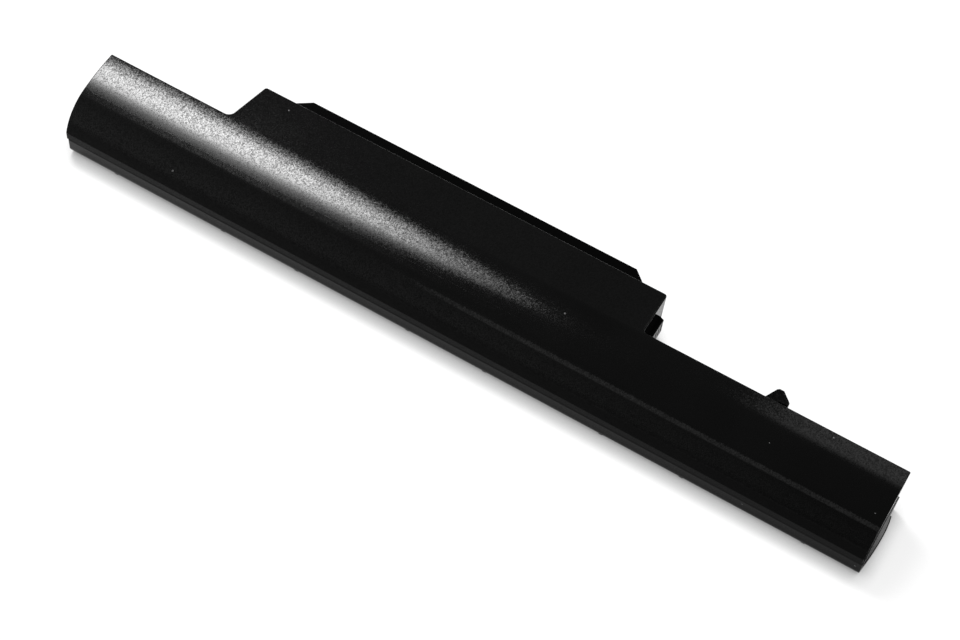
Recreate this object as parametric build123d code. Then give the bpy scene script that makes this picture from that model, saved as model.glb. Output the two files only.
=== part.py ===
"""Laptop battery pack: a long barrel of four cells with a block of two more cells along its front.

Lengths are millimetres. While a piece is shaped, x runs from the left end of the barrel, y from its
back face towards the block, and z up from the underside. The finished pack has its origin in the
middle of its footprint, on the underside.
"""
from build123d import *
from math import asin, cos, hypot, radians, sin, sqrt
import os

# Cells, 18.2 mm across and 65 mm long, welded end to end
cell_diameter = 18.2
cell_length = 65.0
cell_button_diameter = 7.6
cell_button_height = 0.8
cell_groove_depth = 0.6
cell_groove_width = 1.6
cell_groove_from_top = 3.2
cell_edge_radius = 0.5
cell_clearance = 0.1
row_gap = 0.1
barrel_cells = 4
block_cells = 2

# Insulating washers, weld tabs, strips and foam
washer_diameter = 16.4
washer_bore = 9.6
washer_thickness = 0.3
tab_thickness = 0.4
tab_width = 10.0
tab_height = 12.0
tab_corner_radius = 2.0
strip_thickness = 0.15
strip_width = 4.0
strip_gap = 0.02
strip_offset = 2.5
strip_spacing = 5.2
strip_turn = 60.0
pad_width = 12.0
pad_height = 10.0
pad_gap = 0.1

# Walls of the case, and the room that they leave round the cells
wall = 1.0
floor_thickness = 1.0
end_room = 3.0
back_room = 1.6
skin_gap = 0.05
port_room = 4.2

# Crown of the barrel: a tight arc up from the back, and a slow one that runs out into the flat top
crown_shift = 2.3
crown_drop = 4.2
crown_turn = 13.3
crown_front_radius = 61.0
crown_margin = 0.1
top_edge_radius = 0.4
end_edge_radius = 0.3

# Block that stands along the front of the barrel
block_before_link = 26.1
block_left_lean = 3.0
block_corner_radius = 0.9
left_root_radius = 2.4
right_root_radius = 1.0

# Low rail along the front of the block
rail_left_inset = 7.8
rail_right_inset = 5.8
rail_left_slant = 8.5
rail_right_slant = 7.0
rail_reach = 6.2
rail_height = 17.5
rail_edge_radius = 0.3

# Lower half of the case
seam_height = 7.4
seam_gap = 0.25
lower_back_step = 0.3
lower_left_step = 0.4
lower_right_step = 0.3
back_corner_radius = 3.0
base_edge_radius = 0.5
tongue_height = 1.2
tongue_thickness = 0.4
tongue_clearance = 0.1
lip_reach = 1.35
lip_height = 1.8
lip_start = 1.9
lip_crest = 15.6
lip_end = 21.9
lip_front_reach = 0.8
lip_rim_radius = 0.3
cradle_thickness = 1.2
cradle_height = 6.2
post_width = 2.0
post_height = 6.0
post_inset = 7.0
post_clearance = 0.1

# Catch on the front wall of the barrel
catch_from_block = 38.3
catch_width = 7.7
catch_reach = 5.9
catch_bottom = 14.5
catch_top = 19.5
catch_slot_length = 2.9
catch_slot_width = 2.0
catch_root_radius = 0.8

# Circuit boards
board_thickness = 1.0
board_gap = 0.7
board_end_inset = 4.9
board_head_room = 1.0
solder_gap = 0.05
bead_radius = 0.7
bead_place = 96.0
end_board_thickness = 0.8
link_thickness = 0.2
link_height = 2.6
link_bend_radius = 1.0
link_gap = 0.05

# Terminal port in the right wall of the block
port_reach = 2.35
port_width = 10.0
port_bottom = 11.9
port_height = 6.1
port_clearance = 0.05
port_flange = 1.0
port_flange_thickness = 1.2
port_chamfer_along = 0.6
port_chamfer_out = 1.5
port_edge_radius = 1.6
slot_count = 5
slot_pitch = 1.7
slot_width = 0.7
slot_height = 4.2
contact_thickness = 0.2
contact_recess = 0.8

# Rows of cells
cell_radius = cell_diameter / 2
cell_step = cell_length + tab_thickness
cell_centre_z = floor_thickness + cell_clearance + cell_radius
barrel_row_y = lower_back_step + wall + back_room + cell_radius
block_row_y = barrel_row_y + cell_diameter + row_gap
barrel_row_start = wall + end_room + tab_thickness
block_left = barrel_row_start + cell_length - block_before_link
block_row_start = block_left + block_left_lean + wall
barrel_row_end = barrel_row_start + barrel_cells * cell_step - tab_thickness
block_row_end = block_row_start + block_cells * cell_step - tab_thickness

# Crown, drawn round the back row of cells
back_arc_radius = hypot(crown_shift, crown_drop) + cell_radius + skin_gap + wall
back_arc_y = barrel_row_y + crown_shift
back_arc_z = cell_centre_z - crown_drop
front_arc_y = back_arc_y + (crown_front_radius - back_arc_radius) * sin(radians(crown_turn))
front_arc_z = back_arc_z - (crown_front_radius - back_arc_radius) * cos(radians(crown_turn))

# Outside sizes that follow from what the case holds
case_length = barrel_row_end + tab_thickness + end_room + wall
case_height = front_arc_z + crown_front_radius
barrel_depth = front_arc_y + crown_margin + top_edge_radius
block_depth = block_row_y + cell_radius + cell_clearance + wall
block_right = block_row_end + tab_thickness + port_room + end_board_thickness + port_flange_thickness + wall
rail_left = block_left + rail_left_inset
rail_right = block_right - rail_right_inset
rail_front = block_depth + rail_reach
catch_x = block_right + catch_from_block
footprint_length = case_length + lip_reach

# Places of the strips, the boards and the port
strip_bottom = cell_centre_z + cell_radius + strip_gap
back_strip_y = barrel_row_y + strip_offset
valley_strip_y = back_strip_y + strip_width + 4 * strip_gap
front_strip_y = block_row_y - strip_width / 2
board_back = block_depth + board_gap
board_front = board_back + board_thickness
board_left = rail_left + board_end_inset
board_right = rail_right - board_end_inset
board_top = rail_height - wall - board_head_room
link_top = rail_height - wall - 2 * link_gap
port_start_y = barrel_depth
port_middle_y = port_start_y + port_width / 2
port_middle_z = port_bottom + port_height / 2
port_back_x = block_right - wall - port_flange_thickness
parts_folder = "parts"


def place(shape):
    """Moves a finished piece so that the origin lies in the middle of the footprint."""
    return Pos(-footprint_length / 2, -rail_front / 2, 0) * shape


def save(name, shape):
    """Writes one piece of the pack."""
    shape = place(shape)
    shape.label = name
    export_step(shape, os.path.join(parts_folder, name + ".step"))


def upright(shape_2d, bottom, top):
    """Stands a plan drawing up between two heights."""
    return extrude(Pos(0, 0, bottom) * shape_2d, amount=top - bottom)


def slab(x0, x1, y0, y1, z0, z1):
    """A square-edged block between two corners."""
    return Pos(x0, y0, z0) * Box(x1 - x0, y1 - y0, z1 - z0, align=(Align.MIN, Align.MIN, Align.MIN))


def along_length(face, x0, x1):
    """Draws a cross-section out along the barrel."""
    return Pos(x0, 0, 0) * extrude(Plane.YZ * face, amount=x1 - x0)


# Outline of the case seen from above
def case_plan(back=0.0, left=0.0, right=0.0):
    """Barrel and block in one outline, with rounded roots and corners."""
    corners = [
        (left, back),
        (case_length + right, back),
        (case_length + right, barrel_depth),
        (block_right, barrel_depth),
        (block_right, block_depth),
        (block_left + block_left_lean, block_depth),
        (block_left, barrel_depth),
        (left, barrel_depth),
    ]
    plan = make_face(Polyline(*corners, close=True))
    radii = {3: right_root_radius, 4: block_corner_radius, 5: block_corner_radius, 6: left_root_radius}
    for index, radius in radii.items():
        plan = fillet(plan.vertices().sort_by_distance(corners[index])[0], radius)
    return plan


# Cross-section of the upper half, with the crown that rolls from the back up to the flat top
def crown_point(centre_y, centre_z, radius, turn):
    """The point of an arc whose skin leans back by the given angle from level."""
    return (centre_y - radius * sin(turn), centre_z + radius * cos(turn))


def crown_section(inset, bottom):
    """The section that the upper half keeps at a depth of inset below its skin."""
    back_radius = back_arc_radius - inset
    front_radius = crown_front_radius - inset
    join_turn = radians(crown_turn)
    facet_turn = asin((back_arc_y - inset) / back_radius)
    facet_top = crown_point(back_arc_y, back_arc_z, back_radius, facet_turn)
    back_middle = crown_point(back_arc_y, back_arc_z, back_radius, (facet_turn + join_turn) / 2)
    join = crown_point(back_arc_y, back_arc_z, back_radius, join_turn)
    front_middle = crown_point(front_arc_y, front_arc_z, front_radius, join_turn / 2)
    top = (front_arc_y, case_height - inset)
    front = block_depth + wall
    outline = [
        Line((inset, bottom), facet_top),
        ThreePointArc(facet_top, back_middle, join),
        ThreePointArc(join, front_middle, top),
        Polyline(top, (front, top[1]), (front, bottom), (inset, bottom)),
    ]
    return make_face(outline)


def upper_form(inset, bottom):
    """The upper half as a solid form, shrunk by inset on every side but its open underside."""
    plan = case_plan() if inset == 0 else offset(case_plan(), amount=-inset, kind=Kind.INTERSECTION)
    section = along_length(crown_section(inset, bottom), 0, case_length)
    return upright(plan, bottom, case_height) & section


# Plan of the catch: a ramp on its left, and a finger on its right with a slot behind it
def catch_form():
    slot_y = barrel_depth + catch_slot_width
    right = catch_x + catch_width
    outline = Polyline(
        (catch_x, barrel_depth - wall / 2),
        (catch_x, barrel_depth),
        (catch_x + 0.34 * catch_width, barrel_depth + 0.92 * catch_reach),
        (catch_x + 0.42 * catch_width, barrel_depth + catch_reach),
        (catch_x + 0.60 * catch_width, barrel_depth + catch_reach),
        (right - 0.6, barrel_depth + 0.62 * catch_reach),
        (right, barrel_depth + 0.5 * catch_reach),
        (right, slot_y),
        (right - catch_slot_length, slot_y),
        (right - catch_slot_length, barrel_depth - wall / 2),
        close=True,
    )
    return upright(make_face(outline), catch_bottom, catch_top)


def upper_shell():
    """Upper half of the case: crowned barrel, flat block top, front walls and the catch."""
    bottom = seam_height + seam_gap
    body = upper_form(0, bottom)
    front_edges = body.edges().filter_by_position(Axis.Z, case_height - 0.01, case_height + 0.01)
    front_edges = front_edges.filter_by_position(Axis.Y, barrel_depth - 0.01, block_depth + 0.01)
    body = fillet(front_edges, top_edge_radius)
    end_edges = [
        edge
        for edge in body.edges()
        if edge.center().X < 0.01 or edge.center().X > case_length - 0.01
        if edge.center().Z > bottom + 0.01 and edge.center().Y < barrel_depth - 2 * top_edge_radius
    ]
    body = fillet(end_edges, end_edge_radius)
    body += catch_form()
    root = [
        edge
        for edge in body.edges().filter_by(Axis.Z)
        if abs(edge.center().X - catch_x) < 0.05 and abs(edge.center().Y - barrel_depth) < 0.05
    ]
    body = fillet(root, catch_root_radius)
    body -= upper_form(wall, seam_height - wall)
    rebate_top = seam_height + tongue_height + tongue_clearance
    body -= upright(tongue_ring(tongue_clearance), seam_height, rebate_top)
    mouth = slab(
        rail_left + wall, rail_right - wall, block_depth - 2 * wall, block_depth + wall,
        seam_height - wall, rail_height - wall,
    )
    body -= mouth
    body -= port_opening()
    return body


def tongue_ring(clearance):
    """Plan of the tongue that the lower half pushes up inside the upper half."""
    outer = offset(case_plan(), amount=-(wall - tongue_thickness - clearance), kind=Kind.INTERSECTION)
    inner = offset(case_plan(), amount=-(wall + (clearance and wall)), kind=Kind.INTERSECTION)
    return outer - inner


def port_opening():
    """Window in the right wall of the block for the nose of the terminal port."""
    grow = port_clearance
    return slab(
        block_right - 2 * wall, block_right + wall,
        port_start_y - grow, port_start_y + port_width + grow,
        port_bottom - grow, port_bottom + port_height + grow,
    )


# Plan of the rail, which narrows towards its front
def rail_plan(inset=0.0, back=0.0):
    left_angle = rail_left_slant / (rail_front - block_depth)
    right_angle = rail_right_slant / (rail_front - block_depth)
    left_shift = inset * sqrt(1 + left_angle**2)
    right_shift = inset * sqrt(1 + right_angle**2)
    front = rail_front - inset
    left_at_back = rail_left + left_shift
    right_at_back = rail_right - right_shift
    depth = front - block_depth
    outline = Polyline(
        (left_at_back, block_depth - back),
        (left_at_back, block_depth),
        (left_at_back + left_angle * depth, front),
        (right_at_back - right_angle * depth, front),
        (right_at_back, block_depth),
        (right_at_back, block_depth - back),
        close=True,
    )
    return make_face(outline)


# Plan of the lip that bows out of the right end at the underside
def end_lip():
    x = case_length
    front_corner = (x + lip_front_reach, lip_end)
    crest = (x + lip_reach, lip_crest)
    foot = (x + lower_right_step, lip_start)
    outline = [
        Line((x - wall, lip_end), front_corner),
        TangentArc(crest, front_corner, tangent=(0, 1)),
        TangentArc(crest, foot, tangent=(0, -1)),
        Polyline(foot, (x - wall, lip_start), (x - wall, lip_end)),
    ]
    lip = upright(make_face(outline), 0, lip_height)
    rim = [
        edge
        for edge in lip.edges().filter_by(GeomType.CIRCLE)
        if edge.center().X > x and edge.center().Z > lip_height / 2
    ]
    return fillet(rim, lip_rim_radius)


def cradle(row_y, x, back, front):
    """One rib under a cell, cut to the round of the cell."""
    half = cradle_thickness / 2
    rib = slab(x - half, x + half, back, front, floor_thickness, cradle_height)
    bed = Plane.YZ * Circle(cell_radius + cell_clearance)
    bed = Pos(x - cradle_thickness, row_y, cell_centre_z) * extrude(bed, amount=2 * cradle_thickness)
    return rib - bed


def lower_shell():
    """Lower half of the case: tray, front rail, tongue, end lip and the ribs that cradle the cells."""
    plan = case_plan(lower_back_step, lower_left_step, lower_right_step)
    body = upright(plan, 0, seam_height)
    base_edges = body.edges().filter_by_position(Axis.Z, -0.01, 0.01)
    back_edge = base_edges.sort_by(Axis.Y)[0]
    body = fillet(back_edge, back_corner_radius)
    front_base = [
        edge
        for edge in body.edges().filter_by_position(Axis.Z, -0.01, 0.01)
        if edge.center().Y > back_corner_radius + lower_back_step + 0.01
        and lower_left_step + 0.01 < edge.center().X < case_length + lower_right_step - 0.01
    ]
    body = fillet(front_base, base_edge_radius)
    rail = upright(rail_plan(back=wall), 0, rail_height)
    rail_base = rail.edges().filter_by_position(Axis.Z, -0.01, 0.01)
    rail = fillet([edge for edge in rail_base if edge.center().Y > block_depth + 0.01], base_edge_radius)
    body += rail
    rail_edges = [
        edge
        for edge in body.edges().filter_by_position(Axis.Z, rail_height - 0.01, rail_height + 0.01)
        if edge.center().Y > block_depth + 0.05
    ]
    body = fillet(rail_edges, rail_edge_radius)
    body -= slab(
        0, case_length, block_depth - 2 * wall, block_depth, seam_height, rail_height + wall
    )
    inner_plan = offset(plan, amount=-wall, kind=Kind.INTERSECTION)
    hollow = upright(inner_plan, floor_thickness, seam_height + wall)
    corner = hollow.edges().filter_by_position(Axis.Z, floor_thickness - 0.01, floor_thickness + 0.01)
    hollow = fillet(corner.sort_by(Axis.Y)[0], back_corner_radius - wall)
    body -= hollow
    body -= upright(rail_plan(wall, back=2 * wall), floor_thickness, rail_height - wall)
    tongue = upright(tongue_ring(0), seam_height - wall, seam_height + tongue_height)
    mouth = slab(
        rail_left, rail_right, block_depth - 2 * wall, block_depth + wall, seam_height - 2 * wall, case_height
    )
    body += tongue - mouth
    body += end_lip()
    rib_positions = [barrel_row_start + cell_step * index + cell_length * share
                     for index in range(barrel_cells) for share in (0.2, 0.8)]
    for x in rib_positions:
        back_end = lower_back_step + wall / 2
        body += cradle(barrel_row_y, x, back_end, barrel_row_y - cell_radius / 2)
    for x in (board_left + post_inset, board_right - post_inset - post_width):
        body += slab(
            x, x + post_width, board_front + post_clearance, rail_front - wall / 2,
            floor_thickness / 2, post_height,
        )
    return body


# Cell: a drawn can with a rolled groove, a crimped shoulder and a raised button
def cell_form():
    shoulder = cell_length - cell_button_height
    groove_middle = shoulder - cell_groove_from_top
    half = cell_groove_width / 2
    groove_bottom = cell_radius - cell_groove_depth
    groove_start = (cell_radius, groove_middle - half)
    groove_end = (cell_radius, groove_middle + half)
    button_radius = cell_button_diameter / 2
    outline = [
        Polyline((0, 0), (cell_radius, 0), groove_start),
        ThreePointArc(groove_start, (groove_bottom, groove_middle), groove_end),
        Polyline(
            groove_end, (cell_radius, shoulder), (button_radius, shoulder),
            (button_radius, cell_length), (0, cell_length), (0, 0),
        ),
    ]
    can = revolve(Plane.XZ * make_face(outline), Axis.Z)
    rims = [
        edge
        for edge in can.edges().filter_by(GeomType.CIRCLE)
        if abs(edge.radius - cell_radius) < 0.01
        if edge.center().Z < 0.01 or abs(edge.center().Z - shoulder) < 0.01
    ]
    return fillet(rims, cell_edge_radius)


def lie_along_x(shape, x, y):
    """Lays an upright turned piece down along the pack, pointing right."""
    return Pos(x, y, cell_centre_z) * (Rot(0, 90, 0) * shape)


def washer_form():
    """Card washer that lies on the shoulder of a cell, round the button."""
    shoulder = cell_length - cell_button_height
    ring = Circle(washer_diameter / 2) - Circle(washer_bore / 2)
    return extrude(Pos(0, 0, shoulder) * ring, amount=washer_thickness)


# Weld tabs and strips, all of them cut from nickel sheet
def weld_tab(x, row_y, strip_y):
    """Plate that is welded to the end of a cell, with a neck that rises to its strip."""
    plate = Pos(row_y, cell_centre_z) * RectangleRounded(tab_width, tab_height, tab_corner_radius)
    neck = Pos(strip_y, cell_centre_z) * Rectangle(
        strip_width, strip_bottom - cell_centre_z, align=(Align.CENTER, Align.MIN)
    )
    bridge = Pos((row_y + strip_y) / 2, cell_centre_z) * Rectangle(abs(strip_y - row_y), tab_corner_radius)
    return along_length(plate + neck + bridge, x, x + tab_thickness)


def cross_strip(x, start_y):
    """Strip that starts over a row and turns down over the front row to the board."""
    turn = radians(strip_turn)
    inner_radius = strip_bottom - cell_centre_z
    outer_radius = inner_radius + strip_thickness
    y = block_row_y
    z = cell_centre_z

    def on_turn(radius, angle):
        return (y + radius * sin(angle), z + radius * cos(angle))

    def on_board(radius):
        start = on_turn(radius, turn)
        run = (board_back - solder_gap - start[0]) / cos(turn)
        return (board_back - solder_gap, start[1] - run * sin(turn))

    outline = [
        Line((start_y, z + inner_radius), (y, z + inner_radius)),
        ThreePointArc((y, z + inner_radius), on_turn(inner_radius, turn / 2), on_turn(inner_radius, turn)),
        Polyline(on_turn(inner_radius, turn), on_board(inner_radius), on_board(outer_radius),
                 on_turn(outer_radius, turn)),
        ThreePointArc(on_turn(outer_radius, turn), on_turn(outer_radius, turn / 2), (y, z + outer_radius)),
        Polyline((y, z + outer_radius), (start_y, z + outer_radius), (start_y, z + inner_radius)),
    ]
    return along_length(make_face(outline), x - strip_width / 2, x + strip_width / 2)


def strip(plate_x, board_x, strip_y):
    """Strip from the plate at plate_x along the top of the cells, and across to the board at board_x."""
    half = strip_width / 2
    run = slab(
        min(plate_x, board_x - half), max(plate_x + tab_thickness, board_x + half),
        strip_y - half, strip_y + half, strip_bottom, strip_bottom + strip_thickness,
    )
    return run + cross_strip(board_x, strip_y - half)


def foam_pad(x0, x1, row_y):
    """Foam pad between the end of a row and the wall of the case."""
    pad = Plane.YZ * RectangleRounded(pad_width, pad_height, pad_height / 5)
    return Pos(x0, row_y, cell_centre_z) * extrude(pad, amount=x1 - x0)


# Parts soldered to the front of the main board: name, middle from the board's left end, length, height, depth
board_parts = {
    "controller_chip": (35.0, 9.7, 6.4, 1.1),
    "guard_chip": (50.0, 6.2, 5.0, 1.1),
    "charge_switch": (64.0, 6.0, 5.0, 1.2),
    "discharge_switch": (74.0, 6.0, 5.0, 1.2),
    "current_shunt": (86.0, 6.4, 3.2, 0.7),
    "safety_fuse": (98.0, 9.0, 3.6, 1.6),
}


def board_part(middle, length, height, depth):
    """Small moulded package, with its top edges broken, flat on the front of the board."""
    centre_z = (floor_thickness + board_top) / 2
    body = Pos(board_left + middle, board_front, centre_z) * Box(
        length, depth, height, align=(Align.CENTER, Align.MIN, Align.CENTER)
    )
    rim = body.faces().sort_by(Axis.Y)[-1].edges()
    return chamfer(rim, depth / 5)


def main_board():
    """Protection board that stands on edge behind the rail."""
    return slab(board_left, board_right, board_back, board_front, floor_thickness, board_top)


def thermistor():
    """Bead that stands on the back of the board and senses the front row of cells."""
    bead = Cylinder(bead_radius, board_gap, align=(Align.CENTER, Align.CENTER, Align.MIN))
    return Pos(board_left + bead_place, board_back, board_top - 2 * bead_radius) * (Rot(90, 0, 0) * bead)


# Terminal port and what it carries
def terminal_port():
    """Smooth moulded nose with a row of slots, held by its flange behind the wall."""
    tip = block_right + port_reach
    y0 = port_start_y
    y1 = port_start_y + port_width
    z0 = port_bottom
    z1 = port_bottom + port_height
    nose = slab(port_back_x, tip, y0, y1, z0, z1)
    far_edges = [
        edge
        for edge in nose.edges()
        if edge.center().X > tip - 0.01 and edge.center().Y > y1 - 0.01
    ]
    tip_face = nose.faces().sort_by(Axis.X)[-1]
    nose = chamfer(far_edges, port_chamfer_along, port_chamfer_out, reference=tip_face)
    low_edge = [
        edge
        for edge in nose.edges().filter_by(Axis.X)
        if edge.center().Z < z0 + 0.01 and edge.center().Y > y1 - 0.01
    ]
    nose = fillet(low_edge, port_edge_radius)
    flange = slab(
        port_back_x, block_right - wall, y0, y1 + port_flange, z0 - port_flange, z1 + port_flange
    )
    nose += flange
    for y in slot_positions():
        nose -= slab(
            port_back_x - wall, tip + wall, y - slot_width / 2, y + slot_width / 2,
            port_middle_z - slot_height / 2, port_middle_z + slot_height / 2,
        )
    return nose


def slot_positions():
    first = port_middle_y - slot_pitch * (slot_count - 1) / 2
    return [first + slot_pitch * index for index in range(slot_count)]


def contact(y):
    """Flat sprung blade that stands in one slot of the port."""
    half = contact_thickness / 2
    return slab(
        port_back_x, block_right + port_reach - contact_recess, y - half, y + half,
        port_middle_z - slot_height / 2, port_middle_z + slot_height / 2,
    )


def end_board():
    """Small upright board that the contacts are soldered to."""
    return slab(
        port_back_x - end_board_thickness, port_back_x,
        port_start_y, port_start_y + port_width + port_flange,
        port_bottom - port_flange, port_bottom + port_height + port_flange,
    )


def board_link():
    """Flat cable that leaves the small board, turns behind the block's front wall and meets the main one."""
    start_x = port_back_x - end_board_thickness - link_thickness / 2 - link_gap
    turn_y = block_depth - wall - link_thickness / 2 - link_gap
    window_x = rail_right - wall - link_gap
    route = FilletPolyline(
        (start_x, port_middle_y),
        (start_x, turn_y),
        (window_x, turn_y),
        (board_right - link_height, board_back - link_thickness / 2 - link_gap),
        radius=link_bend_radius,
    )
    return upright(trace(route, line_width=link_thickness), link_top - link_height, link_top)


def plate_places(row_start, cells):
    """Where the weld plates of a row stand: before its first cell and after each one."""
    return [row_start - tab_thickness + cell_step * index for index in range(cells + 1)]


def build():
    """Builds and writes every piece of the pack."""
    os.makedirs(parts_folder, exist_ok=True)
    save("upper_shell", upper_shell())
    save("lower_shell", lower_shell())

    rows = [(barrel_row_start, barrel_row_y, barrel_cells), (block_row_start, block_row_y, block_cells)]
    number = 0
    for start, row_y, count in rows:
        for index in range(count):
            number += 1
            x = start + cell_step * index
            save(f"cell_{number}", lie_along_x(cell_form(), x, row_y))
            save(f"cell_washer_{number}", lie_along_x(washer_form(), x, row_y))

    barrel_plates = plate_places(barrel_row_start, barrel_cells)
    block_plates = plate_places(block_row_start, block_cells)
    left_run = board_left + strip_width
    right_run = board_right - strip_width
    centre = tab_thickness / 2
    first_link = barrel_plates[1]
    second_link = barrel_plates[2]
    # Name of the plate, its place along the pack, the height line of its row, its strip and the strip's place
    plates = [
        ("barrel_left", barrel_plates[0], barrel_row_y, back_strip_y, left_run + strip_spacing),
        ("barrel_link_1", first_link, barrel_row_y, back_strip_y, first_link + centre + strip_width),
        ("barrel_link_2", second_link, barrel_row_y, back_strip_y, second_link + centre),
        ("barrel_link_3", barrel_plates[3], barrel_row_y, valley_strip_y, right_run - strip_spacing),
        ("barrel_right", barrel_plates[4], barrel_row_y, back_strip_y, right_run - 2 * strip_spacing),
        ("block_left", block_plates[0], block_row_y, front_strip_y, left_run),
        ("block_link", block_plates[1], block_row_y, front_strip_y, block_plates[1] + centre),
        ("block_right", block_plates[2], block_row_y, front_strip_y, right_run),
    ]
    for name, x, row_y, strip_y, board_x in plates:
        save(f"{name}_tab", weld_tab(x, row_y, strip_y))
        save(f"{name}_strip", strip(x, board_x, strip_y))

    pad_start = wall + lower_left_step + pad_gap
    pad_end = case_length - wall - pad_gap
    save("barrel_pad_left", foam_pad(pad_start, barrel_plates[0], barrel_row_y))
    save("barrel_pad_right", foam_pad(barrel_plates[-1] + tab_thickness, pad_end, barrel_row_y))

    save("main_board", main_board())
    for name, sizes in board_parts.items():
        save(name, board_part(*sizes))
    save("board_link", board_link())
    save("thermistor", thermistor())
    save("terminal_port", terminal_port())
    for index, y in enumerate(slot_positions()):
        save(f"contact_{index + 1}", contact(y))
    save("end_board", end_board())


build()
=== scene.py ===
"""Laptop battery pack on a plain pale floor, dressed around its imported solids."""
from math import cos, pi, radians, sin

import bpy
from mathutils import Matrix, Vector


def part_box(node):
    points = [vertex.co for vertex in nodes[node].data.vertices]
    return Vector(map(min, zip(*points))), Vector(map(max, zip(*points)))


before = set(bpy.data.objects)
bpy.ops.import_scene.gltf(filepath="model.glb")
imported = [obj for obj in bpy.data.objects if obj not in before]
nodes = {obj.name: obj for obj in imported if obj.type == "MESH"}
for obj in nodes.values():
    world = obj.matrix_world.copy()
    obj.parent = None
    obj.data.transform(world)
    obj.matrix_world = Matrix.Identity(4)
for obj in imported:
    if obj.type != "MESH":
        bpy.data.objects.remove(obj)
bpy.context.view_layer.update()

bpy.ops.object.select_all(action="DESELECT")


# View: the photograph's camera, fitted to the straight edges, the seam and the ends of the case.
# Its place and its three turns are real sizes in the frame of the pack.
millimetre = 0.001
photo_width = 960
focal_pixels = 2136.12
sensor_width = 36.0
camera_place = Vector((144.029, -321.036, 535.709)) * millimetre
camera_turn = radians(-24.3034)
camera_dip = radians(57.2514)
camera_roll = radians(7.2054)

forward = Vector((
    sin(camera_turn) * cos(camera_dip),
    cos(camera_turn) * cos(camera_dip),
    -sin(camera_dip),
))
level_right = Vector((cos(camera_turn), -sin(camera_turn), 0))
level_up = level_right.cross(forward)
camera_right = cos(camera_roll) * level_right + sin(camera_roll) * level_up
camera_up = -sin(camera_roll) * level_right + cos(camera_roll) * level_up
camera_data = bpy.data.cameras.new("photo_camera")
camera_data.sensor_width = sensor_width
camera_data.lens = focal_pixels / photo_width * sensor_width
camera_data.clip_start = 0.01
camera_data.clip_end = 50
camera = bpy.data.objects.new("photo_camera", camera_data)
bpy.context.scene.collection.objects.link(camera)
camera.matrix_world = Matrix((
    (camera_right.x, camera_up.x, -forward.x, camera_place.x),
    (camera_right.y, camera_up.y, -forward.y, camera_place.y),
    (camera_right.z, camera_up.z, -forward.z, camera_place.z),
    (0, 0, 0, 1),
))
bpy.context.scene.camera = camera
bpy.context.scene.view_settings.view_transform = "Standard"


# Upper half of the case: black plastic moulded in a spark-eroded tool, which leaves a fine pebble
# grain all over. Some pebbles are duller than others and break up the highlight, and a few specks
# of dust lie on the case.
class Socket:
    """A shader value that Python's operators combine, each adding one Math node."""

    def __init__(self, finish, socket):
        self.finish = finish
        self.socket = socket

    def __add__(self, other):
        return self.finish.maths("ADD", self, other)

    def __radd__(self, other):
        return self.finish.maths("ADD", other, self)

    def __sub__(self, other):
        return self.finish.maths("SUBTRACT", self, other)

    def __rsub__(self, other):
        return self.finish.maths("SUBTRACT", other, self)

    def __mul__(self, other):
        return self.finish.maths("MULTIPLY", self, other)

    def __rmul__(self, other):
        return self.finish.maths("MULTIPLY", other, self)

    def __or__(self, other):
        """Union of two masks."""
        return self + other * (1.0 - self)

    def __lt__(self, other):
        return self.finish.maths("LESS_THAN", self, other)

    def __gt__(self, other):
        return self.finish.maths("GREATER_THAN", self, other)

    def wave(self, pitch):
        """A sine of this length, from 0 to 1, that repeats at the given pitch."""
        return self.finish.maths("SINE", self * (2 * pi / pitch)) * 0.5 + 0.5


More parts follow.
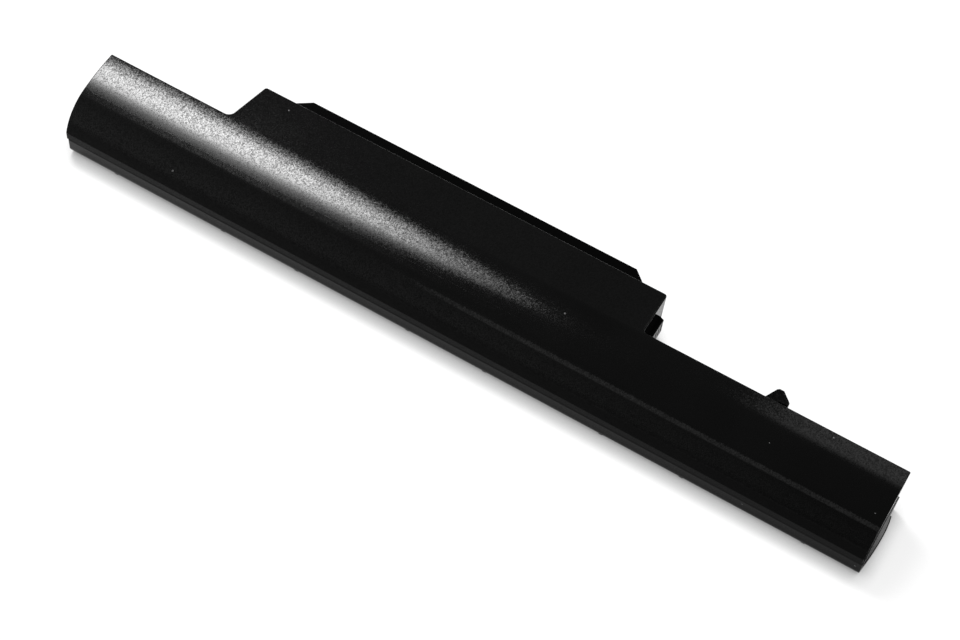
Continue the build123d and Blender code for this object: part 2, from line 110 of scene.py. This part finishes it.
class Finish:
    """A material built from nodes. node() adds one and returns its chosen output."""

    def __init__(self, name):
        self.data = bpy.data.materials.new(name)
        self.data.use_nodes = True
        self.tree = self.data.node_tree
        self.shader = self.tree.nodes["Principled BSDF"]

    def node(self, kind, settings=None, inputs=(), output=0):
        made = self.tree.nodes.new(kind)
        for key, value in (settings or {}).items():
            if key == "stops":
                ramp = made.color_ramp
                while len(ramp.elements) < len(value):
                    ramp.elements.new(0.5)
                for element, (place, colour) in zip(ramp.elements, value):
                    element.position = place
                    element.color = colour
            else:
                setattr(made, key, value)
        pairs = inputs.items() if isinstance(inputs, dict) else enumerate(inputs)
        for key, value in pairs:
            self.feed(made.inputs[key], value)
        return Socket(self, made.outputs[output])

    def feed(self, target, value):
        if isinstance(value, Socket):
            self.tree.links.new(value.socket, target)
        else:
            target.default_value = value

    def maths(self, operation, *inputs):
        """One Math node."""
        return self.node("ShaderNodeMath", {"operation": operation}, inputs)

    def vector(self, operation, *inputs):
        """One Vector Math node."""
        return self.node("ShaderNodeVectorMath", {"operation": operation}, inputs)

    def place(self):
        """Position on the piece, in metres."""
        return self.node("ShaderNodeTexCoord", output="Object")

    def along(self, place, axis):
        """One coordinate of a position: 0, 1 or 2 for x, y or z."""
        return self.node("ShaderNodeSeparateXYZ", None, [place], output=axis)

    def noise(self, place, pitch, detail=2.0):
        """Soft noise from 0 to 1, whose lumps are about one pitch apart."""
        inputs = {"Vector": place, "Scale": 1 / pitch, "Detail": detail, "Roughness": 0.55}
        return self.node("ShaderNodeTexNoise", {"noise_dimensions": "3D"}, inputs)

    def cells(self, place, size, feature="F1"):
        """Random cells of the given size: the distance from the nearest middle, in sizes."""
        inputs = {"Vector": place, "Scale": 1 / size}
        return self.node("ShaderNodeTexVoronoi", {"feature": feature}, inputs, output="Distance")

    def draw(self, place, size):
        """Three random values from 0 to 1 on each of those cells."""
        inputs = {"Vector": place, "Scale": 1 / size}
        return self.node("ShaderNodeTexVoronoi", {"feature": "F1"}, inputs, output="Color")

    def mix(self, share, first, second):
        """Blend of two colours. Sockets 0, 6 and 7 are the node's factor and its colours."""
        inputs = {0: share, 6: first, 7: second}
        return self.node("ShaderNodeMix", {"data_type": "RGBA"}, inputs, output=2)

    def bump(self, height, depth):
        """Surface relief of the given depth, in metres."""
        inputs = {"Strength": 1.0, "Distance": depth, "Height": height}
        return self.node("ShaderNodeBump", None, inputs)

    def ramp(self, value, start, end, low, high):
        """Runs from low to high while the value goes from start to end, and stays there beyond."""
        return self.node("ShaderNodeMapRange", {"clamp": True}, [value, start, end, low, high])

    def pebbles(self, draw, tilt, lean):
        """The surface's own direction plus a lean, tipped at random on each pebble."""
        direction = self.node("ShaderNodeNewGeometry", output="Normal")
        offset = self.vector("MULTIPLY_ADD", draw, (2 * tilt,) * 3, (-tilt,) * 3)
        tipped = self.vector("ADD", self.vector("ADD", direction, lean), offset)
        return self.vector("NORMALIZE", tipped)

    def cover(self, share, gloss, **values):
        """Lays another finish, of the given gloss, over the present one where share is 1."""
        second = self.tree.nodes.new("ShaderNodeBsdfPrincipled")
        second.inputs["Specular IOR Level"].default_value = gloss
        for key, value in values.items():
            self.feed(second.inputs[key.replace("_", " ")], value)
        surface = self.tree.nodes["Material Output"].inputs["Surface"]
        first = surface.links[0].from_socket
        blend = self.tree.nodes.new("ShaderNodeMixShader")
        self.feed(blend.inputs[0], share)
        self.tree.links.new(first, blend.inputs[1])
        self.tree.links.new(second.outputs[0], blend.inputs[2])
        self.tree.links.new(blend.outputs[0], surface)

    def set(self, **values):
        for key, value in values.items():
            self.feed(self.shader.inputs[key.replace("_", " ")], value)

    def give(self, *names):
        for name in names:
            piece = nodes[name]
            piece.data.materials.clear()
            piece.data.materials.append(self.data)


def grey(level, warmth=0.0):
    """A grey of the given level, as a colour with full alpha."""
    return (level * (1 + warmth), level, level * (1 - warmth), 1)


dust_spacing = 7 * millimetre
dust_size = 0.30 * millimetre
dust_rarity = 0.55
dust_level = 0.06


def dust_mask(finish, place):
    """1 on small specks, in the share of the cells that draw more than the rarity."""
    distance = finish.cells(place, dust_spacing)
    chance = finish.along(finish.draw(place, dust_spacing), 0)
    return (distance < dust_size / dust_spacing * chance) * (chance > dust_rarity)


case_low, case_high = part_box("upper_shell")
case_back = case_low.y
crown_join = 10.87 * millimetre       # where the two arcs of the crown meet, from the back
crown_top = 24.9 * millimetre         # where the crown runs into the flat top
join_lean = 0.066
back_lean = 0.150
back_lean_full = 8.4 * millimetre
back_fade = (3.5 * millimetre, 8.0 * millimetre)
front_lean = -0.018
front_fade = (12.8 * millimetre, 15.5 * millimetre)
top_lean = 0.022
top_lean_start = 21.0 * millimetre


def crown_lean(finish, depth):
    """Lean of the surface towards the block, which softens the places where the arcs end."""
    back = finish.ramp(depth, crown_join, back_lean_full, join_lean, back_lean)
    back = back * finish.ramp(depth, *back_fade, 0.0, 1.0)
    front = finish.ramp(depth, *front_fade, front_lean, 0.0)
    top = finish.ramp(depth, top_lean_start, crown_top, 0.0, top_lean)
    behind_join = depth < crown_join
    before_join = depth > crown_join
    on_crown = depth < crown_top
    return back * behind_join + front * before_join + top * on_crown


case_gloss = 0.17
dull_gloss = 0.02
pebble_size = 0.32 * millimetre
pebble_tilt = 0.012
pebble_dulling = 0.85
mottle_pitch = 30 * millimetre


def grained_plastic(name, level, roughness):
    """The plastic of the case, and what a duller finish over it shares with it."""
    finish = Finish(name)
    place = finish.place()
    mottle = finish.noise(place, mottle_pitch)
    tone = finish.mix(mottle, grey(level * 0.8), grey(level * 1.2))
    draw = finish.draw(place, pebble_size)
    dust = dust_mask(finish, place)
    eased = crown_lean(finish, finish.along(place, 1) - case_back)
    lean = finish.node("ShaderNodeCombineXYZ", None, [0.0, eased, 0.0])
    coat = {
        "Base_Color": finish.mix(dust, tone, grey(dust_level)),
        "Roughness": roughness + 0.05 * (mottle - 0.5) + 0.3 * dust,
        "Normal": finish.pebbles(draw, pebble_tilt, lean),
    }
    finish.set(Specular_IOR_Level=case_gloss, **coat)
    return finish, place, draw, coat


flank_top = 15 * millimetre
flank_dull = 13 * millimetre
flank_left_dull_shade = 0.78
seam_line = case_low.z + 0.35 * millimetre
seam_start = case_low.x + 10 * millimetre
seam_full = case_low.x + 35 * millimetre
catch_left = 80 * millimetre
catch_back = 2.4 * millimetre
catch_shade = 0.8
shade_level = 0.0006

upper_finish, upper_place, upper_draw, upper_coat = grained_plastic(
    "upper_case_grain", level=0.0026, roughness=0.09
)
upper_along = upper_finish.along(upper_place, 0)
upper_across = upper_finish.along(upper_place, 1)
upper_rise = upper_finish.along(upper_place, 2)
# The dull flank below the crown is partly painted shade, and its growth to the right end is painted
# shade.
flank_dull_shade = upper_finish.ramp(upper_along, case_low.x, case_high.x, flank_left_dull_shade, 1.0)
upper_dull_shade = upper_finish.ramp(upper_rise, flank_top, flank_dull, 0.0, flank_dull_shade)
# Painted shade: the parting line along the seam and the catch are made darker and duller.
upper_seam_shade = upper_rise < seam_line
upper_seam_shade = upper_seam_shade * upper_finish.ramp(upper_along, seam_start, seam_full, 0.0, 1.0)
on_catch = (upper_along > catch_left) * (upper_across > catch_back)
upper_shade = upper_seam_shade | catch_shade * on_catch
flecked = pebble_dulling * upper_finish.along(upper_draw, 1)
upper_coat["Base_Color"] = upper_finish.mix(upper_shade, upper_coat["Base_Color"], grey(shade_level))
upper_finish.cover(upper_dull_shade | upper_shade | flecked, dull_gloss, **upper_coat)
upper_finish.give("upper_shell")


# Lower half of the case: the same grained moulding, with the tray, the end lip and the low front
# rail in one piece. The rail slides in the bay of the computer and is made darker and duller; the
# strip under the seam is painted shade, and the end lip has a painted highlight, leaned as though
# its face sloped down from the case.
rail_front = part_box("lower_shell")[1].y
rail_depth = 6.2 * millimetre
seam_foot = case_low.z - 1.05 * millimetre
rail_and_seam_shade_level = 0.0010
lower_left_dull_shade = 0.2
lower_right_dull_shade = 0.7
lip_left = case_high.x + 0.1 * millimetre
lip_foot = 1.74 * millimetre
lip_fade = (-21 * millimetre, -8 * millimetre)
lip_shine = (0.1, 1.0)
lip_gloss = 0.32
lip_lean = (0.375, -0.65, 0.0)

lower_finish, lower_place, lower_draw, lower_coat = grained_plastic(
    "lower_case_grain", level=0.0034, roughness=0.15
)
lower_along = lower_finish.along(lower_place, 0)
lower_across = lower_finish.along(lower_place, 1)
lower_rise = lower_finish.along(lower_place, 2)
on_rail = lower_across > (rail_front - rail_depth)
# Painted shade under the seam: darker colour and duller finish, as on the rail.
under_seam_shade = lower_rise > seam_foot
dark = on_rail | under_seam_shade
# More dull finish towards the right end: painted shade along the lower half.
lower_dull_shade = lower_finish.ramp(lower_along, case_low.x, case_high.x, lower_left_dull_shade, lower_right_dull_shade)
lower_coat["Base_Color"] = lower_finish.mix(dark, lower_coat["Base_Color"], grey(rail_and_seam_shade_level))
lower_finish.cover(lower_dull_shade | dark, dull_gloss, **lower_coat)
# Painted highlight on the end lip: the surface leans and the gloss rises, more so across it,
# so that it reflects the lamp at the near right.
lip_face = (lower_along > lip_left) * (lower_rise > lip_foot)
lip_highlight = lip_face * lower_finish.ramp(lower_across, *lip_fade, *lip_shine)
lower_coat["Normal"] = lower_finish.pebbles(lower_draw, pebble_tilt, lip_lean)
lower_finish.cover(lip_highlight, lip_gloss, **lower_coat)
lower_finish.give("lower_shell")


# Terminal port: a small glossy black moulding of a harder plastic, which carries the contact
# blades in its slots. Its tool is polished, and leaves faint flow marks. Plugging in has drawn
# the finest scratches over them.
flow_pitch = 3 * millimetre
scratch_pitch = 0.21 * millimetre
port_finish = Finish("port_polished_plastic")
port_place = port_finish.place()
flow = port_finish.noise(port_place, flow_pitch)
scratch = port_finish.along(port_place, 1).wave(scratch_pitch)
port_finish.set(
    Base_Color=port_finish.mix(flow, grey(0.0010), grey(0.0018)),
    Roughness=0.14 + 0.10 * flow,
    Normal=port_finish.bump(flow + 0.15 * scratch, 0.004 * millimetre),
    Specular_IOR_Level=0.03,
)
port_finish.give("terminal_port")


# Cells: steel cans in a shrunk film sleeve of muted teal, which wraps over the shoulder and the
# foot and leaves the bare nickel-plated button and end disc. The film has fine shrink lines round
# the can.
cell_low, cell_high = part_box("cell_1")
cell_radius = (cell_high.z - cell_low.z) / 2
sleeve_overlap = 1.6 * millimetre
bare_radius = cell_radius - sleeve_overlap
disc_depth = 0.3 * millimetre
button_depth = 2 * millimetre
shrink_pitch = 0.9 * millimetre
wrinkle_pitch = 4 * millimetre
dark_teal = (0.030, 0.150, 0.130, 1)
light_teal = (0.045, 0.205, 0.180, 1)
for name in [f"cell_{number}" for number in range(1, 7)]:
    low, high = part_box(name)
    sleeve = Finish(f"{name}_sleeve")
    place = sleeve.place()
    along = sleeve.along(place, 0)
    across = sleeve.along(place, 1) - (low.y + high.y) / 2
    rise = sleeve.along(place, 2) - (low.z + high.z) / 2
    near_axis = (across * across + rise * rise) < bare_radius * bare_radius
    at_an_end = (along < low.x + disc_depth) + (along > high.x - button_depth)
    bare = near_axis * at_an_end
    shrink_lines = along.wave(shrink_pitch)
    wrinkle = sleeve.noise(place, wrinkle_pitch)
    film = sleeve.mix(wrinkle, dark_teal, light_teal)
    steel = sleeve.mix(wrinkle, grey(0.48, 0.02), grey(0.62, 0.02))
    sleeve.set(
        Base_Color=sleeve.mix(bare, film, steel),
        Metallic=bare,
        Roughness=0.30 + 0.10 * wrinkle - 0.06 * bare,
        Normal=sleeve.bump(0.6 * wrinkle + 0.1 * shrink_lines, 0.05 * millimetre),
    )
    sleeve.give(name)


# Washers: rings punched from fish paper, a dense vulcanised card, laid on the shoulder of each
# cell round its button. The card has short fibres and a slightly fuzzy surface.
fibre_pitch = 0.35 * millimetre
blotch_pitch = 5 * millimetre
dark_card = (0.50, 0.47, 0.38, 1)
light_card = (0.74, 0.72, 0.63, 1)
card = Finish("washer_card")
card_place = card.place()
fibre = card.noise(card_place, fibre_pitch, detail=4.0)
blotch = card.noise(card_place, blotch_pitch)
card.set(
    Base_Color=card.mix(0.5 * fibre + 0.5 * blotch, dark_card, light_card),
    Roughness=0.78 + 0.12 * fibre,
    Normal=card.bump(fibre, 0.03 * millimetre),
)
card.give(*[f"cell_washer_{number}" for number in range(1, 7)])


# Weld tabs and strips: pure nickel sheet, cut and bent, with the lines of the rolling mill along
# it. Resistance welding leaves small dull dimples where a tab meets its cell.
mill_pitch = 0.18 * millimetre
mill_stretch = (0.04, 1, 1)
handled_pitch = 6 * millimetre
weld_pitch = 3.4 * millimetre
weld_radius = 0.16
dark_nickel = (0.56, 0.54, 0.49, 1)
light_nickel = (0.70, 0.68, 0.62, 1)
nickel = Finish("rolled_nickel")
nickel_place = nickel.place()
rolled_place = nickel.node(
    "ShaderNodeMapping", None, {"Vector": nickel_place, "Scale": mill_stretch}
)
mill_lines = nickel.node(
    "ShaderNodeTexNoise", {"noise_dimensions": "3D"},
    {"Vector": rolled_place, "Scale": 1 / mill_pitch, "Detail": 2.0},
)
handled = nickel.noise(nickel_place, handled_pitch)
weld = nickel.cells(nickel_place, weld_pitch) < weld_radius
sheet = nickel.mix(handled, dark_nickel, light_nickel)
nickel.set(
    Base_Color=nickel.mix(weld, sheet, grey(0.33)),
    Metallic=1.0 - 0.25 * weld,
    Roughness=0.24 + 0.14 * handled + 0.12 * mill_lines + 0.2 * weld,
    Normal=nickel.bump(0.3 * mill_lines - 0.8 * weld, 0.02 * millimetre),
)
nickel.give(*[name for name in nodes if name.endswith(("_tab", "_strip"))])


# Circuit boards: glass-fibre laminate under green solder mask. Copper tracks stand a little proud
# under the mask, and the weave of the glass shows faintly between them.
route_pitch = 9 * millimetre
route_sway = 2.5 * millimetre
track_edge = 0.62
weave_pitch = 0.5 * millimetre
via_pitch = 4.5 * millimetre
via_radius = 0.09
bare_mask = (0.010, 0.060, 0.028, 1)
track_mask = (0.022, 0.125, 0.050, 1)
via_plating = (0.62, 0.58, 0.46, 1)


def board_finish(name, track_pitch):
    board = Finish(name)
    place = board.place()
    along = board.along(place, 0)
    rise = board.along(place, 2)
    route = board.noise(place, route_pitch, detail=0.0)
    track = (rise + route_sway * route).wave(track_pitch) > track_edge
    weave = along.wave(weave_pitch) * rise.wave(weave_pitch)
    via = board.cells(place, via_pitch) < via_radius
    board.set(
        Base_Color=board.mix(via, board.mix(track, bare_mask, track_mask), via_plating),
        Metallic=0.9 * via,
        Roughness=0.26 + 0.10 * weave,
        Normal=board.bump(0.8 * track + 0.15 * weave, 0.03 * millimetre),
    )
    return board


board_finish("main_board_mask", track_pitch=1.9 * millimetre).give("main_board")
board_finish("end_board_mask", track_pitch=1.2 * millimetre).give("end_board")


# Board parts: transfer-moulded packages of filled epoxy, matt with a fine grain, with a small
# round moulding mark. The shunt is a bare metal strip under lacquer, and the fuse is pale ceramic.
epoxy_grain = 0.12 * millimetre
mark_radius = 0.45 * millimetre
mark_along = 0.22
mark_up = 0.75


def package(name, dark, light, roughness, metal=0.0):
    part = Finish(f"{name}_body")
    place = part.place()
    low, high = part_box(name)
    grain = part.noise(place, epoxy_grain)
    across = part.along(place, 0) - (low.x + mark_along * (high.x - low.x))
    rise = part.along(place, 2) - (low.z + mark_up * (high.z - low.z))
    mark = (across * across + rise * rise) < mark_radius ** 2
    part.set(
        Base_Color=part.mix(grain, dark, light),
        Metallic=metal,
        Roughness=roughness + 0.10 * grain - 0.12 * mark,
        Normal=part.bump(grain - 1.5 * mark, 0.02 * millimetre),
    )
    part.give(name)


for name in ("controller_chip", "guard_chip", "charge_switch", "discharge_switch"):
    package(name, grey(0.012), grey(0.028), roughness=0.52)
package("current_shunt", (0.30, 0.21, 0.15, 1), (0.42, 0.30, 0.21, 1), roughness=0.34, metal=0.8)
package("safety_fuse", (0.55, 0.52, 0.45, 1), (0.68, 0.65, 0.57, 1), roughness=0.48)
package("thermistor", (0.05, 0.03, 0.02, 1), (0.10, 0.05, 0.03, 1), roughness=0.30)


# Board link: a flat cable of copper lines between two polyimide films, amber and clear, with the
# lines showing through as ribs along its length.
rib_pitch = 0.52 * millimetre
ripple_pitch = 2.2 * millimetre
dark_amber = (0.330, 0.120, 0.012, 1)
light_amber = (0.560, 0.250, 0.060, 1)
link = Finish("amber_film_cable")
link_place = link.place()
rib = link.along(link_place, 2).wave(rib_pitch)
ripple = link.noise(link_place, ripple_pitch)
link.set(
    Base_Color=link.mix(rib > 0.5, dark_amber, light_amber),
    Roughness=0.22 + 0.12 * ripple,
    Normal=link.bump(rib + 0.4 * ripple, 0.03 * millimetre),
)
link.give("board_link")


# Contacts: flat blades stamped from spring bronze and plated with gold over nickel. The shears
# leave a fine drag along the edges, and plugging in has dulled the plating in patches.
drag_pitch = 0.15 * millimetre
wipe_pitch = 1.4 * millimetre
dull_gold = (0.72, 0.50, 0.19, 1)
bright_gold = (0.86, 0.66, 0.32, 1)
contact = Finish("plated_spring_blade")
contact_place = contact.place()
drag = contact.along(contact_place, 2).wave(drag_pitch)
wipe = contact.noise(contact_place, wipe_pitch)
contact.set(
    Base_Color=contact.mix(wipe, dull_gold, bright_gold),
    Metallic=1.0,
    Roughness=0.18 + 0.16 * wipe + 0.06 * drag,
    Normal=contact.bump(0.3 * drag + wipe, 0.008 * millimetre),
)
contact.give(*[f"contact_{number}" for number in range(1, 6)])


# End pads: closed-cell foam, cut from sheet and pressed between the end of the long row and the
# wall. Its cut faces show open bubbles.
bubble_size = 0.7 * millimetre
foam = Finish("closed_cell_foam")
foam_place = foam.place()
bubble = foam.cells(foam_place, bubble_size, "SMOOTH_F1")
foam.set(
    Base_Color=foam.mix(bubble, grey(0.03), grey(0.085)),
    Roughness=0.85 + 0.1 * bubble,
    Normal=foam.bump(bubble, 0.25 * millimetre),
)
foam.give("barrel_pad_left", "barrel_pad_right")


# Floor: a sheet of white board that runs to the horizon. Light paths lift it to full white for
# the camera and for glossy surfaces, and it darkens softly where the pack keeps the sky from it.
floor_reach = 6.0
floor_share = 0.84
contact_reach = 5.5 * millimetre
bpy.ops.mesh.primitive_plane_add(size=2 * floor_reach, location=(0, 0, 0))
floor = bpy.context.object
floor.name = "floor"
board = Finish("floor_board")
board.set(Base_Color=grey(0.90), Roughness=0.9, Specular_IOR_Level=0.0)
seen = board.node("ShaderNodeLightPath", output="Is Camera Ray")
glossed = board.node("ShaderNodeLightPath", output="Is Glossy Ray")
passed = board.node("ShaderNodeLightPath", output="Is Transmission Ray")
open_sky = board.node(
    "ShaderNodeAmbientOcclusion", {"samples": 6}, {"Distance": contact_reach}, output="AO"
)
board.cover(
    floor_share * (seen + glossed + passed),
    gloss=0.0,
    Base_Color=grey(0.0),
    Emission_Color=board.mix(open_sky, grey(0.0), grey(1.0)),
    Emission_Strength=1.0,
)
floor.data.materials.append(board.data)


# Room: dark, so that the black plastic stays black, and a little brighter towards the left end
# and the near side, where the back of the crown looks.
class Room(Finish):
    """The light of the room, built from nodes as a finish is."""

    def __init__(self, name):
        self.data = bpy.data.worlds.new(name)
        self.data.use_nodes = True
        self.tree = self.data.node_tree
        self.shader = self.tree.nodes["Background"]


bright_side = (-0.96, -0.29, 0.0)
room_stops = ((0.2, grey(0.03)), (0.45, grey(0.4)), (0.75, grey(1.0)))
room = Room("room")
bpy.context.scene.world = room.data
direction = room.node("ShaderNodeTexCoord", output="Generated")
toward = room.node(
    "ShaderNodeVectorMath", {"operation": "DOT_PRODUCT"}, [direction, bright_side], output="Value"
)
room_light = room.node("ShaderNodeValToRGB", {"stops": room_stops}, [toward], output="Color")
room.set(Color=room_light, Strength=1.0)


# Lamps: an oval diffuser up and to the left, brightest in its middle, gives the highlight along
# the crown. A box at the near right lights the floor, and dim panels stand for the far wall, the
# ceiling and the room behind.
def soft_box(name, place, aim, long_side, length, width, radiance, shape="RECTANGLE"):
    """A flat lamp that faces its aim, with its length along the long side."""
    area = length * width * (pi / 4 if shape == "ELLIPSE" else 1)
    data = bpy.data.lights.new(name, "AREA")
    data.shape = shape
    data.size = length
    data.size_y = width
    data.energy = 4 * area * radiance
    lamp = bpy.data.objects.new(name, data)
    bpy.context.scene.collection.objects.link(lamp)
    back = (Vector(place) - Vector(aim)).normalized()
    side = Vector(long_side)
    side = (side - side.dot(back) * back).normalized()
    up = back.cross(side)
    lamp.matrix_world = Matrix((
        (side.x, up.x, back.x, place[0]),
        (side.y, up.y, back.y, place[1]),
        (side.z, up.z, back.z, place[2]),
        (0, 0, 0, 1),
    ))


# The diffuser's rings: half the width of each, and its radiance. Lamps in one plane take light
# from each other, so each ring stands a little behind the smaller one.
pack_middle = (0.0, 0.0, 0.01)
crown_place = Vector((-0.455, 0.263, 0.860))
crown_side = (0.865, -0.094, 0.492)
crown_rings = (
    (0.040, 6.0), (0.075, 8.4), (0.105, 13.0), (0.135, 13.0), (0.165, 10.1), (0.200, 6.2),
)
ring_length = 2.9
ring_setback = 0.1
for number, (reach, radiance) in enumerate(crown_rings):
    soft_box(
        f"crown_ring_{number}", crown_place * (1 + ring_setback * reach), pack_middle, crown_side,
        length=ring_length * reach, width=2 * reach, radiance=radiance, shape="ELLIPSE",
    )
soft_box(
    "near_right_box", (0.90, -0.70, 0.90), pack_middle, (1, 1, 0),
    length=0.6, width=0.6, radiance=4.0,
)
soft_box(
    "far_wall_panel", (-0.35, 0.80, 0.95), pack_middle, (1, 0, 0),
    length=1.0, width=0.45, radiance=0.15,
)
soft_box(
    "ceiling_panel", (0.18, 0.52, 0.97), (0.18, 0.52, 0.0), (1, 0, 0),
    length=0.36, width=0.30, radiance=1.7,
)
soft_box(
    "near_strip", (-0.05, -0.50, 0.95), (-0.05, -0.50, 0.0), (1, 0, 0),
    length=0.45, width=0.30, radiance=0.8,
)
